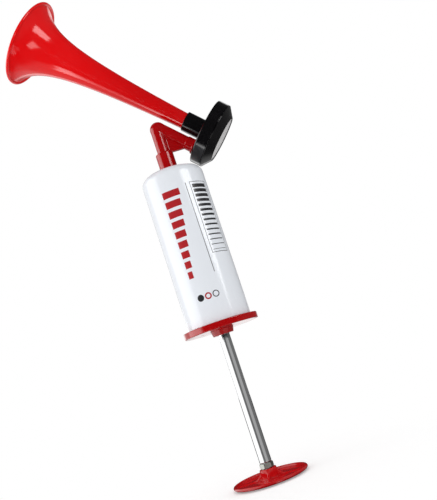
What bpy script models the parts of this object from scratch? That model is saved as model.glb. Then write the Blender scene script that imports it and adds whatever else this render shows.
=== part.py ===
"""Hand-pump air horn: a pump barrel with a drawn plunger, and a trumpet on a swivelling elbow.

The pump's axis is +Z, and the origin is the middle of the handle disc's flat underside. The trumpet lies
in the XZ plane, with its mouth towards -X and +Z. All sizes are in metres.
"""

import math

import bmesh
import bpy
from mathutils import Matrix

# Fits: the gap between two pieces that seat on each other, and the rod's running gap
SEAT = 0.0003
RUN = 0.0003

# Handle disc
HANDLE_D = 0.0578
HANDLE_BEAD_R = 0.0013
HANDLE_BEAD_Z = 0.0022
HANDLE_FOOT_D = 0.0450
HANDLE_FLOOR = 0.0016
HANDLE_BOSS_D = 0.0130
HANDLE_BOSS_H = 0.0090
STUD_HOLE_FLOOR = 0.0022
RIB_COUNT = 4
RIB_T = 0.0018
RIB_FIRST_ANGLE = math.radians(-105)
RIB_DROP = 0.0010
RIB_LOW = 0.0023
RIB_SWEEP = 0.0075

# Plunger rod and its lock nut
ROD_D = 0.0092
ROD_WALL = 0.0011
ROD_PLUG = 0.0060
ROD_DRAWN = 0.0991
STUD_D = 0.0060
NUT_AF = 0.0092
NUT_H = 0.0038
NUT_TURN = math.radians(30)

# End cap, rod bush and bump stop
FLANGE_OVERHANG = 0.0045
FLANGE_T = 0.0048
CAP_BOSS_WALL = 0.0024
CAP_BOSS_H = 0.0042
CAP_BOSS_DRAFT = 0.0011
CAP_LIP_T = 0.0012
SPIGOT_H = 0.0080
SPIGOT_WALL = 0.0026
HUB_WALL = 0.0034
BUSH_WALL = 0.0016
VENT_D = 0.0030
VENT_COUNT = 3
BUMP_T = 0.0020
BUMP_WALL = 0.0044

# Barrel
BARREL_D = 0.0500
BARREL_WALL = 0.0015
BARREL_LENGTH = 0.1253
BARREL_TOP_T = 0.0025
SHOULDER_R = 0.0070
BARREL_CORNER_R = 0.0020
NIPPLE_D = 0.0090
NIPPLE_H = 0.0140
NIPPLE_BORE = 0.0040
SEAL_SECTION_D = 0.0013
SEAL_GAP = 0.00015

# Piston
WASHER_T = 0.0012
LOWER_WASHER_D = 0.0200
WASHER_EDGE = 0.0046
PISTON_T = 0.0050
PISTON_RUN = 0.0006
CUP_T = 0.0020
CUP_LIP_H = 0.0060
CUP_LIP_T = 0.0016
BOLT_AF = 0.0100
BOLT_HEAD_H = 0.0032
BOLT_REACH = 0.0120

# Elbow: both legs meet at a rounded apex, with a web in the inner corner, and the elbow carries the
# housing with its lowest edge RIM_CLEAR above the barrel's top
HORN_ANGLE = math.radians(45)
RIM_CLEAR = 0.0003
LEG_D = 0.0100
LEG_BORE = 0.0060
LEG_LENGTH = 0.0371
APEX_R = 0.0064
APEX_BULGE = 0.0002
SOCKET_WALL = 0.00205
SOCKET_ROOF = 0.0028
SOCKET_GAP = 0.0006
END_STEP = 0.0006
END_LENGTH = 0.0086
INLET_FLANGE_W = 0.0011
INLET_FLANGE_T = 0.0012
INLET_WALL = 0.0010
INLET_SPIGOT_L = 0.0040
INLET_GASKET_T = 0.0008
INLET_GAP = 0.0008
WEB_T = 0.0030
WEB_DROP = 0.0005

# Sound housing
HOUSING_D = 0.0542
HOUSING_RIM = 0.0091
HOUSING_WALL = 0.0020
HOUSING_SIDE = 0.0026
HOUSING_EDGE = 0.0006
CLAMP_W = 0.0020
NOZZLE_D = 0.0120
NOZZLE_BORE = 0.0080
COLLAR_WALL = 0.0013
COLLAR_L = 0.0179
STEM_SEAT = 0.0027
DIAPHRAGM_T = 0.0005
GASKET_T = 0.0010
RING_SPIGOT_L = 0.0005
RING_LAND = 0.0005
RING_DEPTH = 0.0059
RING_LIP = 0.0006
RING_LEDGE = 0.0037
RING_WEB_T = 0.0014
RING_WALL = 0.0022
DISC_D = 0.0368
DISC_T = 0.0013
DISC_CROWN = 0.0003
DISC_RECESS = 0.0003

# Bell: its outer radius falls from the mouth to the stem as a power of the depth
MOUTH_D = 0.0712
STEM_D = 0.0134
BELL_LENGTH = 0.1614
BELL_WALL = 0.0016
FLARE_DEPTH = 0.0135
FLARE_START = 0.0016
LIP_R = 0.0011

# Facets round a turned piece, along the flare, and in an arc
FINE = 40
MEDIUM = 32
COARSE = 24
SMALL = 12
HEXAGON = 6
FLARE_ROWS = 10
ARC = 5
BEAD_ARC = 6
SEAL_ARC = 8

# How near two points of a turned profile count as one, and how large an axis is drawn
MERGE = 1e-6
AXIS_SIZE = 0.02

# Heights along the pump's axis
RIB_TOP = HANDLE_BOSS_H - RIB_DROP
NUT_Z = HANDLE_BOSS_H + SEAT
ROD_Z = NUT_Z + NUT_H + SEAT
CAP_BOSS_Z = ROD_Z + ROD_DRAWN
FLANGE_Z = CAP_BOSS_Z + CAP_BOSS_H
FLANGE_TOP = FLANGE_Z + FLANGE_T
HUB_TOP = FLANGE_TOP + SPIGOT_H
BARREL_Z = FLANGE_TOP + SEAT
BARREL_TOP = BARREL_Z + BARREL_LENGTH
ROD_TOP = HUB_TOP + SEAT + BUMP_T
LOWER_WASHER_Z = ROD_TOP + SEAT
PISTON_Z = LOWER_WASHER_Z + WASHER_T + SEAT
CUP_Z = PISTON_Z + PISTON_T + SEAT
UPPER_WASHER_Z = CUP_Z + CUP_T + SEAT
BOLT_HEAD_Z = UPPER_WASHER_Z + WASHER_T + SEAT

# Radii about the pump's axis that fit to one another
ROD_R = ROD_D / 2
STUD_R = STUD_D / 2
BUSH_R = ROD_R + RUN + BUSH_WALL
CAP_BORE_R = BUSH_R + SEAT
CAP_BOSS_R = CAP_BORE_R + CAP_BOSS_WALL
HUB_R = CAP_BORE_R + HUB_WALL
BARREL_R = BARREL_D / 2
BORE_R = BARREL_R - BARREL_WALL
FLANGE_R = BARREL_R + FLANGE_OVERHANG
SPIGOT_R = BORE_R - SEAT
SPIGOT_INNER_R = SPIGOT_R - SPIGOT_WALL
VENT_CIRCLE_R = (HUB_R + SPIGOT_INNER_R) / 2
BOLT_R = ROD_R - ROD_WALL - SEAT
STACK_HOLE_R = BOLT_R + SEAT
CUP_R = BORE_R - RUN
UPPER_WASHER_R = CUP_R - CUP_LIP_T - WASHER_EDGE
NIPPLE_R = NIPPLE_D / 2
SOCKET_BORE_R = NIPPLE_R + SOCKET_GAP
SOCKET_R = SOCKET_BORE_R + SOCKET_WALL
SEAL_R = SOCKET_BORE_R - SEAL_GAP - SEAL_SECTION_D / 2
GROOVE_R = SEAL_R - SEAL_SECTION_D / 2 - SEAL_GAP
GROOVE_W = SEAL_SECTION_D + 2 * SEAL_GAP

# Heights above the barrel's top
SEAL_Z = NIPPLE_H / 2
SOCKET_DEPTH = NIPPLE_H + SOCKET_GAP
SOCKET_H = SOCKET_DEPTH + SOCKET_ROOF

# Radii about the horn's axis and about the elbow's second leg
STEM_R = STEM_D / 2
STEM_BORE_R = STEM_R + SEAT
COLLAR_R = STEM_BORE_R + COLLAR_WALL
HOUSING_R = HOUSING_D / 2
CLAMP_R = HOUSING_R - HOUSING_SIDE
CLAMP_FIT_R = CLAMP_R - SEAT
CHAMBER_R = CLAMP_R - CLAMP_W
DISC_SEAT_R = DISC_D / 2 + SEAT
LEG_R = LEG_D / 2
END_R = LEG_R + END_STEP
INLET_FLANGE_R = END_R + INLET_FLANGE_W
INLET_R = LEG_BORE / 2 + INLET_WALL
INLET_HOLE_R = INLET_R + SEAT
LEG_TO_HORN = COLLAR_R + INLET_GAP + INLET_FLANGE_R

# Places along the horn's axis, measured from the housing's front face towards the mouth
RING_FLANGE_S = -HOUSING_RIM - SEAT
RING_S = RING_FLANGE_S + RING_SPIGOT_L
GASKET_S = RING_S + SEAT + GASKET_T
DIAPHRAGM_S = GASKET_S + SEAT + DIAPHRAGM_T
LEDGE_S = DIAPHRAGM_S + SEAT
RING_LAND_S = RING_FLANGE_S - RING_LAND
RING_BACK_S = RING_LAND_S - RING_DEPTH
DISC_SEAT_S = RING_BACK_S + DISC_RECESS + DISC_T + SEAT
DISC_S = DISC_SEAT_S - SEAT
INLET_GASKET_S = SEAT
INLET_FLANGE_S = INLET_GASKET_S + INLET_GASKET_T + SEAT
COLLAR_DEPTH = BELL_LENGTH - COLLAR_L
FLARE_POWER = math.log(MOUTH_D / STEM_D) / math.log(1 + COLLAR_DEPTH / FLARE_DEPTH)

# The housing's front face and the elbow's apex, from the middle of the barrel's top
HORN_X = LEG_LENGTH * math.sin(HORN_ANGLE) + LEG_TO_HORN * math.cos(HORN_ANGLE)
HORN_Z = RIM_CLEAR + HOUSING_R * math.sin(HORN_ANGLE) - RING_LAND_S * math.cos(HORN_ANGLE)
APEX_H = HORN_Z + LEG_LENGTH * math.cos(HORN_ANGLE) - LEG_TO_HORN * math.sin(HORN_ANGLE)
APEX_BACK = (APEX_R - LEG_R) / math.sin(HORN_ANGLE / 2)
APEX_TRIM = APEX_BACK * math.cos(HORN_ANGLE / 2)


def fresh_scene():
    for obj in list(bpy.data.objects):
        bpy.data.objects.remove(obj)


def new_collection(name):
    collection = bpy.data.collections.new(name)
    bpy.context.scene.collection.children.link(collection)
    return collection


def new_empty(name, parent=None, location=(0, 0, 0), tilt=0.0):
    """An axis that moving pieces are parented to; tilt turns it about Y."""
    empty = bpy.data.objects.new(name, None)
    empty.empty_display_size = AXIS_SIZE
    empty.parent = parent
    empty.location = location
    empty.rotation_euler = (0, tilt, 0)
    PARTS.objects.link(empty)
    return empty


def finish_of(name, colour, roughness, metallic=0.0):
    material = bpy.data.materials.new(name)
    material.use_nodes = True
    shader = material.node_tree.nodes["Principled BSDF"]
    shader.inputs["Base Color"].default_value = (*colour, 1)
    shader.inputs["Roughness"].default_value = roughness
    shader.inputs["Metallic"].default_value = metallic
    material.diffuse_color = (*colour, 1)
    return material


def place(obj, parent, location, material=None):
    """Links an object as a part, or without a material as a helper that isn't drawn."""
    obj.parent = parent
    obj.location = location
    if material is None:
        CUTTERS.objects.link(obj)
        obj.hide_render = True
        obj.display_type = "WIRE"
    else:
        PARTS.objects.link(obj)
        obj.data.materials.append(material)
    return obj


def turned(name, outline, steps, parent=None, material=None, location=(0, 0, 0)):
    """A body of revolution about Z. The outline of (radius, height) points runs down its outer side;
    it is closed into a ring unless it starts and ends on the axis."""
    on_axis = outline[0][0] == 0 and outline[-1][0] == 0
    mesh = bpy.data.meshes.new(name)
    edges = [(i, i + 1) for i in range(len(outline) - 1)]
    if not on_axis:
        edges.append((len(outline) - 1, 0))
    mesh.from_pydata([(r, 0, z) for r, z in outline], edges, [])
    obj = bpy.data.objects.new(name, mesh)
    screw = obj.modifiers.new("Screw", "SCREW")
    screw.axis = "Z"
    screw.angle = math.tau
    screw.steps = steps
    screw.render_steps = steps
    screw.use_merge_vertices = True
    screw.merge_threshold = MERGE
    screw.use_smooth_shade = True
    return place(obj, parent, location, material)


def prism(name, radius, low, high, sides, parent=None, material=None, location=(0, 0, 0), turn=0.0):
    """An upright cylinder, or a prism of few sides, between two heights."""
    mesh = bpy.data.meshes.new(name)
    bm = bmesh.new()
    middle = Matrix.Translation((0, 0, (low + high) / 2)) @ Matrix.Rotation(turn, 4, "Z")
    bmesh.ops.create_cone(
        bm, cap_ends=True, segments=sides, radius1=radius, radius2=radius, depth=high - low, matrix=middle
    )
    bm.to_mesh(mesh)
    bm.free()
    return place(bpy.data.objects.new(name, mesh), parent, location, material)


def plate(name, outline, thickness, parent=None, turn=0.0):
    """A flat helper plate: an outline of (x, z) points, thickened evenly about the XZ plane."""
    mesh = bpy.data.meshes.new(name)
    bm = bmesh.new()
    face = bm.faces.new([bm.verts.new((x, -thickness / 2, z)) for x, z in outline])
    walls = bmesh.ops.extrude_face_region(bm, geom=[face])["geom"]
    moved = [item for item in walls if isinstance(item, bmesh.types.BMVert)]
    bmesh.ops.translate(bm, vec=(0, thickness, 0), verts=moved)
    bmesh.ops.recalc_face_normals(bm, faces=bm.faces)
    bm.to_mesh(mesh)
    bm.free()
    obj = place(bpy.data.objects.new(name, mesh), parent, (0, 0, 0))
    obj.rotation_euler = (0, 0, turn)
    return obj


def ball(name, radius, half_width, parent, location):
    """A helper ball that is squeezed along Y to a half width."""
    mesh = bpy.data.meshes.new(name)
    bm = bmesh.new()
    squeeze = Matrix.Scale(half_width / radius, 4, (0, 1, 0))
    bmesh.ops.create_uvsphere(bm, u_segments=COARSE, v_segments=COARSE // 2, radius=radius, matrix=squeeze)
    bm.to_mesh(mesh)
    bm.free()
    return place(bpy.data.objects.new(name, mesh), parent, location)


def combine(obj, helper, operation):
    boolean = obj.modifiers.new(helper.name, "BOOLEAN")
    boolean.operation = operation
    boolean.solver = "EXACT"
    boolean.object = helper


def arc(centre, radius, first, last, count=ARC):
    """Points on an arc about (radius, height), between two angles in degrees, both ends included."""
    angles = [math.radians(first + (last - first) * i / count) for i in range(count + 1)]
    return [(centre[0] + radius * math.cos(a), centre[1] + radius * math.sin(a)) for a in angles]


def ring(inner, outer, low, high):
    return [(inner, high), (outer, high), (outer, low), (inner, low)]


def build_handle(axis):
    red = finish_of("handle_red_abs", (0.62, 0.008, 0.014), 0.25)
    rim_r = HANDLE_D / 2 - HANDLE_BEAD_R
    boss_r = HANDLE_BOSS_D / 2
    hole_r = STUD_R + SEAT
    bead = arc((rim_r, HANDLE_BEAD_Z), HANDLE_BEAD_R, 170, -90, BEAD_ARC)
    outline = [(0, STUD_HOLE_FLOOR), (hole_r, STUD_HOLE_FLOOR), (hole_r, HANDLE_BOSS_H)]
    outline += [(boss_r, HANDLE_BOSS_H), (boss_r, HANDLE_FLOOR), (rim_r - HANDLE_BEAD_R, HANDLE_FLOOR)]
    handle = turned("handle_disc", outline + bead + [(HANDLE_FOOT_D / 2, 0), (0, 0)], FINE, axis, red)
    foot = HANDLE_FLOOR / 2
    sweep = [math.radians(90 * i / ARC) for i in range(ARC + 1)]
    rib = [(boss_r - RIB_T / 2, foot), (rim_r, foot), (rim_r, RIB_LOW)]
    for t in reversed(sweep):
        rib.append((boss_r + RIB_SWEEP * (1 - math.cos(t)), RIB_TOP - (RIB_TOP - RIB_LOW) * math.sin(t)))
    rib.append((boss_r - RIB_T / 2, RIB_TOP))
    for i in range(RIB_COUNT):
        helper = plate(f"rib_{i + 1}", rib, RIB_T, axis, RIB_FIRST_ANGLE + math.tau * i / RIB_COUNT)
        combine(handle, helper, "UNION")


def build_rod(axis):
    steel = finish_of("rod_plated_steel", (0.62, 0.63, 0.64), 0.18, 1.0)
    nut_steel = finish_of("nut_plated_steel", (0.56, 0.57, 0.57), 0.3, 1.0)
    inner = ROD_R - ROD_WALL
    plug_top = ROD_Z + ROD_PLUG
    outline = [(0, plug_top), (inner, plug_top), (inner, ROD_TOP), (ROD_R, ROD_TOP), (ROD_R, ROD_Z)]
    stud_end = STUD_HOLE_FLOOR + SEAT
    turned("pump_rod", outline + [(STUD_R, ROD_Z), (STUD_R, stud_end), (0, stud_end)], COARSE, axis, steel)
    corner = NUT_AF / math.sqrt(3)
    nut = prism("lock_nut", corner, NUT_Z, NUT_Z + NUT_H, HEXAGON, axis, nut_steel, turn=NUT_TURN)
    margin = NUT_H
    hole = prism("lock_nut_hole", STUD_R + SEAT, NUT_Z - margin, NUT_Z + NUT_H + margin, COARSE, axis)
    combine(nut, hole, "DIFFERENCE")


def build_piston(axis):
    steel = finish_of("washer_zinc_steel", (0.55, 0.55, 0.56), 0.35, 1.0)
    nylon = finish_of("piston_white_nylon", (0.8, 0.79, 0.75), 0.5)
    rubber = finish_of("cup_black_rubber", (0.02, 0.02, 0.022), 0.75)
    bolt_steel = finish_of("bolt_zinc_steel", (0.5, 0.5, 0.52), 0.35, 1.0)
    lower_top = LOWER_WASHER_Z + WASHER_T
    upper_top = UPPER_WASHER_Z + WASHER_T
    lower = ring(STACK_HOLE_R, LOWER_WASHER_D / 2, LOWER_WASHER_Z, lower_top)
    upper = ring(STACK_HOLE_R, UPPER_WASHER_R, UPPER_WASHER_Z, upper_top)
    turned("lower_washer", lower, COARSE, axis, steel)
    turned("upper_washer", upper, COARSE, axis, steel)
    head = ring(STACK_HOLE_R, BORE_R - PISTON_RUN, PISTON_Z, PISTON_Z + PISTON_T)
    turned("piston_head", head, MEDIUM, axis, nylon)
    cup_floor = CUP_Z + CUP_T
    lip_top = CUP_Z + CUP_LIP_H
    cup = [(STACK_HOLE_R, cup_floor), (CUP_R - CUP_LIP_T, cup_floor), (CUP_R - CUP_LIP_T / 2, lip_top)]
    cup += [(CUP_R, lip_top), (CUP_R - PISTON_RUN, CUP_Z), (STACK_HOLE_R, CUP_Z)]
    turned("piston_cup", cup, MEDIUM, axis, rubber)
    bolt_end = ROD_TOP - BOLT_REACH
    head_r = BOLT_AF / math.sqrt(3)
    head_top = BOLT_HEAD_Z + BOLT_HEAD_H
    bolt = prism("piston_bolt", head_r, BOLT_HEAD_Z, head_top, HEXAGON, axis, bolt_steel)
    shank = prism("bolt_shank", BOLT_R, bolt_end, BOLT_HEAD_Z + BOLT_HEAD_H / 2, COARSE, axis)
    combine(bolt, shank, "UNION")


def build_end_cap():
    red = finish_of("cap_red_abs", (0.6, 0.008, 0.014), 0.25)
    acetal = finish_of("bush_black_acetal", (0.03, 0.03, 0.03), 0.45)
    rubber = finish_of("bump_black_rubber", (0.02, 0.02, 0.02), 0.8)
    lip_r = ROD_R + 2 * RUN
    lip_top = CAP_BOSS_Z + CAP_LIP_T
    outline = [(CAP_BORE_R, HUB_TOP), (HUB_R, HUB_TOP), (HUB_R, FLANGE_TOP), (SPIGOT_INNER_R, FLANGE_TOP)]
    outline += [(SPIGOT_INNER_R, HUB_TOP), (SPIGOT_R, HUB_TOP), (SPIGOT_R, FLANGE_TOP)]
    outline += [(FLANGE_R, FLANGE_TOP), (FLANGE_R, FLANGE_Z), (CAP_BOSS_R, FLANGE_Z)]
    outline += [(CAP_BOSS_R - CAP_BOSS_DRAFT, CAP_BOSS_Z), (lip_r, CAP_BOSS_Z), (lip_r, lip_top)]
    outline += [(CAP_BORE_R, lip_top)]
    cap = turned("end_cap", outline, FINE, None, red)
    low = FLANGE_Z - FLANGE_T
    high = FLANGE_TOP + FLANGE_T
    for i in range(VENT_COUNT):
        angle = math.tau * (i + 0.5) / VENT_COUNT
        spot = (VENT_CIRCLE_R * math.cos(angle), VENT_CIRCLE_R * math.sin(angle), 0)
        vent = prism(f"vent_{i + 1}", VENT_D / 2, low, high, SMALL, None, None, spot)
        combine(cap, vent, "DIFFERENCE")
    bush_axis = new_empty("bush_axis")
    bush = ring(ROD_R + RUN, BUSH_R, lip_top + SEAT, HUB_TOP - SEAT)
    turned("rod_bush", bush, COARSE, bush_axis, acetal)
    bump = ring(lip_r, lip_r + BUMP_WALL, HUB_TOP + SEAT, HUB_TOP + SEAT + BUMP_T)
    turned("bump_stop", bump, COARSE, None, rubber)


def build_barrel():
    white = finish_of("barrel_white_abs", (0.86, 0.86, 0.87), 0.28)
    rubber = finish_of("seal_black_rubber", (0.02, 0.02, 0.02), 0.7)
    inner_top = BARREL_TOP - BARREL_TOP_T
    seal_z = BARREL_TOP + SEAL_Z
    nipple_top = BARREL_TOP + NIPPLE_H
    outline = [(NIPPLE_BORE / 2, nipple_top), (NIPPLE_R, nipple_top), (NIPPLE_R, seal_z + GROOVE_W / 2)]
    outline += [(GROOVE_R, seal_z + GROOVE_W / 2), (GROOVE_R, seal_z - GROOVE_W / 2)]
    outline += [(NIPPLE_R, seal_z - GROOVE_W / 2), (NIPPLE_R, BARREL_TOP)]
    outline += arc((BARREL_R - SHOULDER_R, BARREL_TOP - SHOULDER_R), SHOULDER_R, 90, 0)
    outline += [(BARREL_R, BARREL_Z), (BORE_R, BARREL_Z)]
    outline += arc((BORE_R - BARREL_CORNER_R, inner_top - BARREL_CORNER_R), BARREL_CORNER_R, 0, 90)
    turned("barrel", outline + [(NIPPLE_BORE / 2, inner_top)], FINE, None, white)
    seal = arc((SEAL_R, seal_z), SEAL_SECTION_D / 2, 180, -180, SEAL_ARC)[:-1]
    turned("elbow_seal_ring", seal, COARSE, None, rubber)


def build_elbow(swivel, horn):
    """Leg one is turned about the pump's axis, and leg two about a line beside the horn's axis."""
    red = finish_of("elbow_red_abs", (0.6, 0.008, 0.014), 0.25)
    beside = (-LEG_TO_HORN, 0, 0)
    apex_z = APEX_H - APEX_TRIM
    leg_top = apex_z + APEX_BULGE
    leg_start = LEG_LENGTH - APEX_TRIM + APEX_BULGE
    upright = [(0, leg_top), (LEG_R, leg_top), (LEG_R, SOCKET_H), (SOCKET_R, SOCKET_H), (SOCKET_R, SEAT)]
    elbow = turned("elbow", upright + [(0, SEAT)], COARSE, swivel, red)
    flange_top = INLET_FLANGE_S + INLET_FLANGE_T
    spigot_end = INLET_FLANGE_S - INLET_SPIGOT_L
    slanted = [(0, leg_start), (LEG_R, leg_start), (LEG_R, END_LENGTH), (END_R, END_LENGTH)]
    slanted += [(END_R, flange_top), (INLET_FLANGE_R, flange_top), (INLET_FLANGE_R, INLET_FLANGE_S)]
    slanted += [(INLET_R, INLET_FLANGE_S), (INLET_R, spigot_end), (0, spigot_end)]
    second_leg = turned("second_leg", slanted, COARSE, horn, None, beside)
    web_low = SOCKET_H - WEB_DROP
    reach = (APEX_H - web_low) * math.tan(HORN_ANGLE)
    web = plate("web", [(0, web_low), (reach, web_low), (0, APEX_H)], WEB_T, swivel)
    apex_spot = (APEX_BACK * math.sin(HORN_ANGLE / 2), 0, apex_z)
    apex = ball("apex", APEX_R + APEX_BULGE, LEG_R + APEX_BULGE, swivel, apex_spot)
    for helper in (apex, second_leg, web):
        combine(elbow, helper, "UNION")
    low = -SOCKET_H
    bore_r = LEG_BORE / 2
    socket = prism("socket_bore", SOCKET_BORE_R, low, SOCKET_DEPTH, COARSE, swivel)
    first_bore = prism("first_bore", bore_r, low, leg_top, COARSE, swivel)
    second_bore = prism("second_bore", bore_r, spigot_end - LEG_BORE, leg_start, COARSE, horn, None, beside)
    for helper in (socket, first_bore, second_bore):
        combine(elbow, helper, "DIFFERENCE")
    rubber = finish_of("gasket_black_rubber", (0.02, 0.02, 0.02), 0.8)
    gasket = ring(INLET_HOLE_R, INLET_FLANGE_R, INLET_GASKET_S, INLET_GASKET_S + INLET_GASKET_T)
    turned("inlet_gasket", gasket, COARSE, horn, rubber, beside)


def bell_radius(depth):
    """The bell's outer radius at a depth behind its mouth."""
    return MOUTH_D / 2 * (FLARE_DEPTH / (FLARE_DEPTH + depth)) ** FLARE_POWER


def build_housing(horn):
    black = finish_of("housing_black_abs", (0.012, 0.012, 0.013), 0.45)
    nozzle_r = NOZZLE_D / 2
    nozzle_bore = NOZZLE_BORE / 2
    outline = [(STEM_BORE_R, COLLAR_L), (COLLAR_R, COLLAR_L), (COLLAR_R, 0), (HOUSING_R - HOUSING_EDGE, 0)]
    outline += [(HOUSING_R, -HOUSING_EDGE), (HOUSING_R, -HOUSING_RIM), (CLAMP_R, -HOUSING_RIM)]
    outline += [(CLAMP_R, LEDGE_S), (CHAMBER_R, LEDGE_S), (CHAMBER_R, -HOUSING_WALL)]
    outline += [(nozzle_r, -HOUSING_WALL), (nozzle_r, LEDGE_S), (nozzle_bore, LEDGE_S)]
    outline += [(nozzle_bore, STEM_SEAT), (STEM_BORE_R, STEM_SEAT)]
    shell = turned("housing_shell", outline, FINE, horn, black)
    beside = (-LEG_TO_HORN, 0, 0)
    inlet = prism("inlet_hole", INLET_HOLE_R, -2 * HOUSING_WALL, HOUSING_WALL, COARSE, horn, None, beside)
    combine(shell, inlet, "DIFFERENCE")


def build_sounder(horn):
    """What closes the housing's back: diaphragm, gasket, chamfered clamp ring and pale cover disc."""
    film = finish_of("diaphragm_clear_film", (0.75, 0.76, 0.74), 0.3)
    rubber = finish_of("clamp_gasket_rubber", (0.02, 0.02, 0.02), 0.8)
    black = finish_of("ring_black_abs", (0.012, 0.012, 0.013), 0.42)
    pale = finish_of("disc_pale_grey_abs", (0.72, 0.71, 0.71), 0.4)
    top = DIAPHRAGM_S
    low = DIAPHRAGM_S - DIAPHRAGM_T
    turned("diaphragm", [(0, top), (CLAMP_FIT_R, top), (CLAMP_FIT_R, low), (0, low)], MEDIUM, horn, film)
    gasket = ring(CHAMBER_R, CLAMP_FIT_R, GASKET_S - GASKET_T, GASKET_S)
    turned("diaphragm_gasket", gasket, MEDIUM, horn, rubber)
    web_top = DISC_SEAT_S + RING_WEB_T
    window_r = DISC_SEAT_R - RING_LEDGE
    lip_r = DISC_SEAT_R + RING_LIP
    slope = (HOUSING_R - lip_r) / RING_DEPTH
    inner_r = HOUSING_R - slope * (RING_LAND_S - web_top) - RING_WALL
    outline = [(CHAMBER_R, RING_S), (CLAMP_FIT_R, RING_S), (CLAMP_FIT_R, RING_FLANGE_S)]
    outline += [(HOUSING_R, RING_FLANGE_S), (HOUSING_R, RING_LAND_S), (lip_r, RING_BACK_S)]
    outline += [(DISC_SEAT_R, RING_BACK_S), (DISC_SEAT_R, DISC_SEAT_S), (window_r, DISC_SEAT_S)]
    outline += [(window_r, web_top), (min(inner_r, CHAMBER_R), web_top)]
    turned("retaining_ring", outline, FINE, horn, black)
    back = DISC_S - DISC_T
    disc_r = DISC_D / 2
    crown = [(disc_r * (1 - i / ARC), back - DISC_CROWN * (1 - (1 - i / ARC) ** 2)) for i in range(ARC + 1)]
    turned("rear_disc", [(0, DISC_S), (disc_r, DISC_S)] + crown, FINE, horn, pale)


def build_bell(horn):
    """The wall follows the flare from a rolled lip down to a plain stem inside the collar."""
    red = finish_of("bell_red_abs", (0.66, 0.008, 0.014), 0.22)
    ratio = (FLARE_DEPTH + COLLAR_DEPTH) / (FLARE_DEPTH + FLARE_START)
    outer = []
    inner = []
    for i in range(FLARE_ROWS + 1):
        depth = (FLARE_DEPTH + FLARE_START) * ratio ** (i / FLARE_ROWS) - FLARE_DEPTH
        radius = bell_radius(depth)
        slope = -FLARE_POWER * radius / (FLARE_DEPTH + depth)
        length = math.hypot(1, slope)
        outer.append((radius, BELL_LENGTH - depth))
        inner.append((radius - BELL_WALL / length, BELL_LENGTH - depth - BELL_WALL * slope / length))
    stem_end = STEM_SEAT + SEAT
    outer.append((STEM_R, stem_end))
    inner.append((STEM_R - BELL_WALL, stem_end))
    lip = arc((MOUTH_D / 2 - LIP_R, BELL_LENGTH - LIP_R), LIP_R, 120, -75, BEAD_ARC)
    turned("bell", lip + outer + inner[::-1], FINE, horn, red)


fresh_scene()
PARTS = new_collection("hand_pump_air_horn")
CUTTERS = new_collection("cutters")

plunger_axis = new_empty("plunger_axis")
swivel_axis = new_empty("swivel_axis", None, (0, 0, BARREL_TOP))
horn_axis = new_empty("horn_axis", swivel_axis, (HORN_X, 0, HORN_Z), -HORN_ANGLE)

build_handle(plunger_axis)
build_rod(plunger_axis)
build_piston(plunger_axis)
build_end_cap()
build_barrel()
build_elbow(swivel_axis, horn_axis)
build_housing(horn_axis)
build_sounder(horn_axis)
build_bell(horn_axis)
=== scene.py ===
"""Finished surfaces of a hand-pump air horn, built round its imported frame.

Lengths are metres in the frame's own axes: the pump stands on +Z with the handle's underside at the origin,
and the trumpet leans in the XZ plane. Turned pieces are drawn as outlines of corners, each with its distance
from the axis, its height and its rounding.
"""

import functools
import math

import bmesh
import bpy
from bpy.props import FloatProperty, FloatVectorProperty, IntProperty, PointerProperty
from bpy.types import Operator, Panel, PropertyGroup
from mathutils import Matrix, Quaternion, Vector


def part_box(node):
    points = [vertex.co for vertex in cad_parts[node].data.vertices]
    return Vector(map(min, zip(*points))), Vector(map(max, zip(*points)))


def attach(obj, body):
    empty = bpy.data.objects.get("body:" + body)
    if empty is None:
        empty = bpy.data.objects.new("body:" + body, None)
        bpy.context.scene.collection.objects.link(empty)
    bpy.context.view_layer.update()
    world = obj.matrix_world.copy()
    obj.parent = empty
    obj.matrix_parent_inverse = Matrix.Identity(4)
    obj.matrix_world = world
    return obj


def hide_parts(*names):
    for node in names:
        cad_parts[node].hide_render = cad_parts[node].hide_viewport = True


bl_info = {
    "name": "Hand-pump air horn",
    "version": (1, 0, 0),
    "blender": (4, 5, 0),
    "location": "View3D > Sidebar > Air horn",
    "description": "Builds the finished surfaces of a hand-pump air horn round its frame",
    "category": "Add Mesh",
}

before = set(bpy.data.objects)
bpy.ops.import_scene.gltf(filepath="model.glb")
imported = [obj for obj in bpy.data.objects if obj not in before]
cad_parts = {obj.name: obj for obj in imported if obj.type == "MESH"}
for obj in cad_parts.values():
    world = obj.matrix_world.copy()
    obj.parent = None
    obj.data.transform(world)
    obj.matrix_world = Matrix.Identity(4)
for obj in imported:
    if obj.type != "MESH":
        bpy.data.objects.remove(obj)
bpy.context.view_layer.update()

MM = 0.001

# How finely shapes are drawn
TURN_STEPS = 128
SMALL_STEPS = 64
ARC_STEPS = 6
FLARE_ROWS = 56
CROWN_ROWS = 16
SWEEP_STEPS = 12
MERGE = 1e-7
SHARP = math.radians(35)

# A moulding's skin: the size of its voxels, how often it is eased and how far each time
SKIN_VOXEL = 0.0003
SKIN_PASSES = 10
SKIN_EASE = 0.5

# Arcs that are drawn in full: first and last angle in degrees, and steps
LIP_ARC = (120, -85, 16)
SHOULDER_ARC = (90, 0, 18)
BEAD_ARC = (170, -90, 14)

# Roundings of edges and corners, from a seam to a broad inner corner
SEAM = 0.0001
FINE = 0.0002
EASED = 0.0003
SOFT = 0.0004
ROUND = 0.0005
FULL = 0.0006
ROOT = 0.0008
BROAD = 0.002

# The share of a side that a rounding may take, and how near it a row of points holds the flat beside it
SIDE_SHARE = 0.45
HOLD = 0.0002

# The gap between seated pieces, and how far a cutter runs past its cut
SEAT = 0.0003
PAST = 0.01

# Fixed shares and sides: where the cover disc's crown starts, and the nut's hexagon
CROWN_SHARE = 0.985
NUT_SIDES = 6

# Depth of the housing's rim behind its front face
HOUSING_RIM = 0.0091


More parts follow.
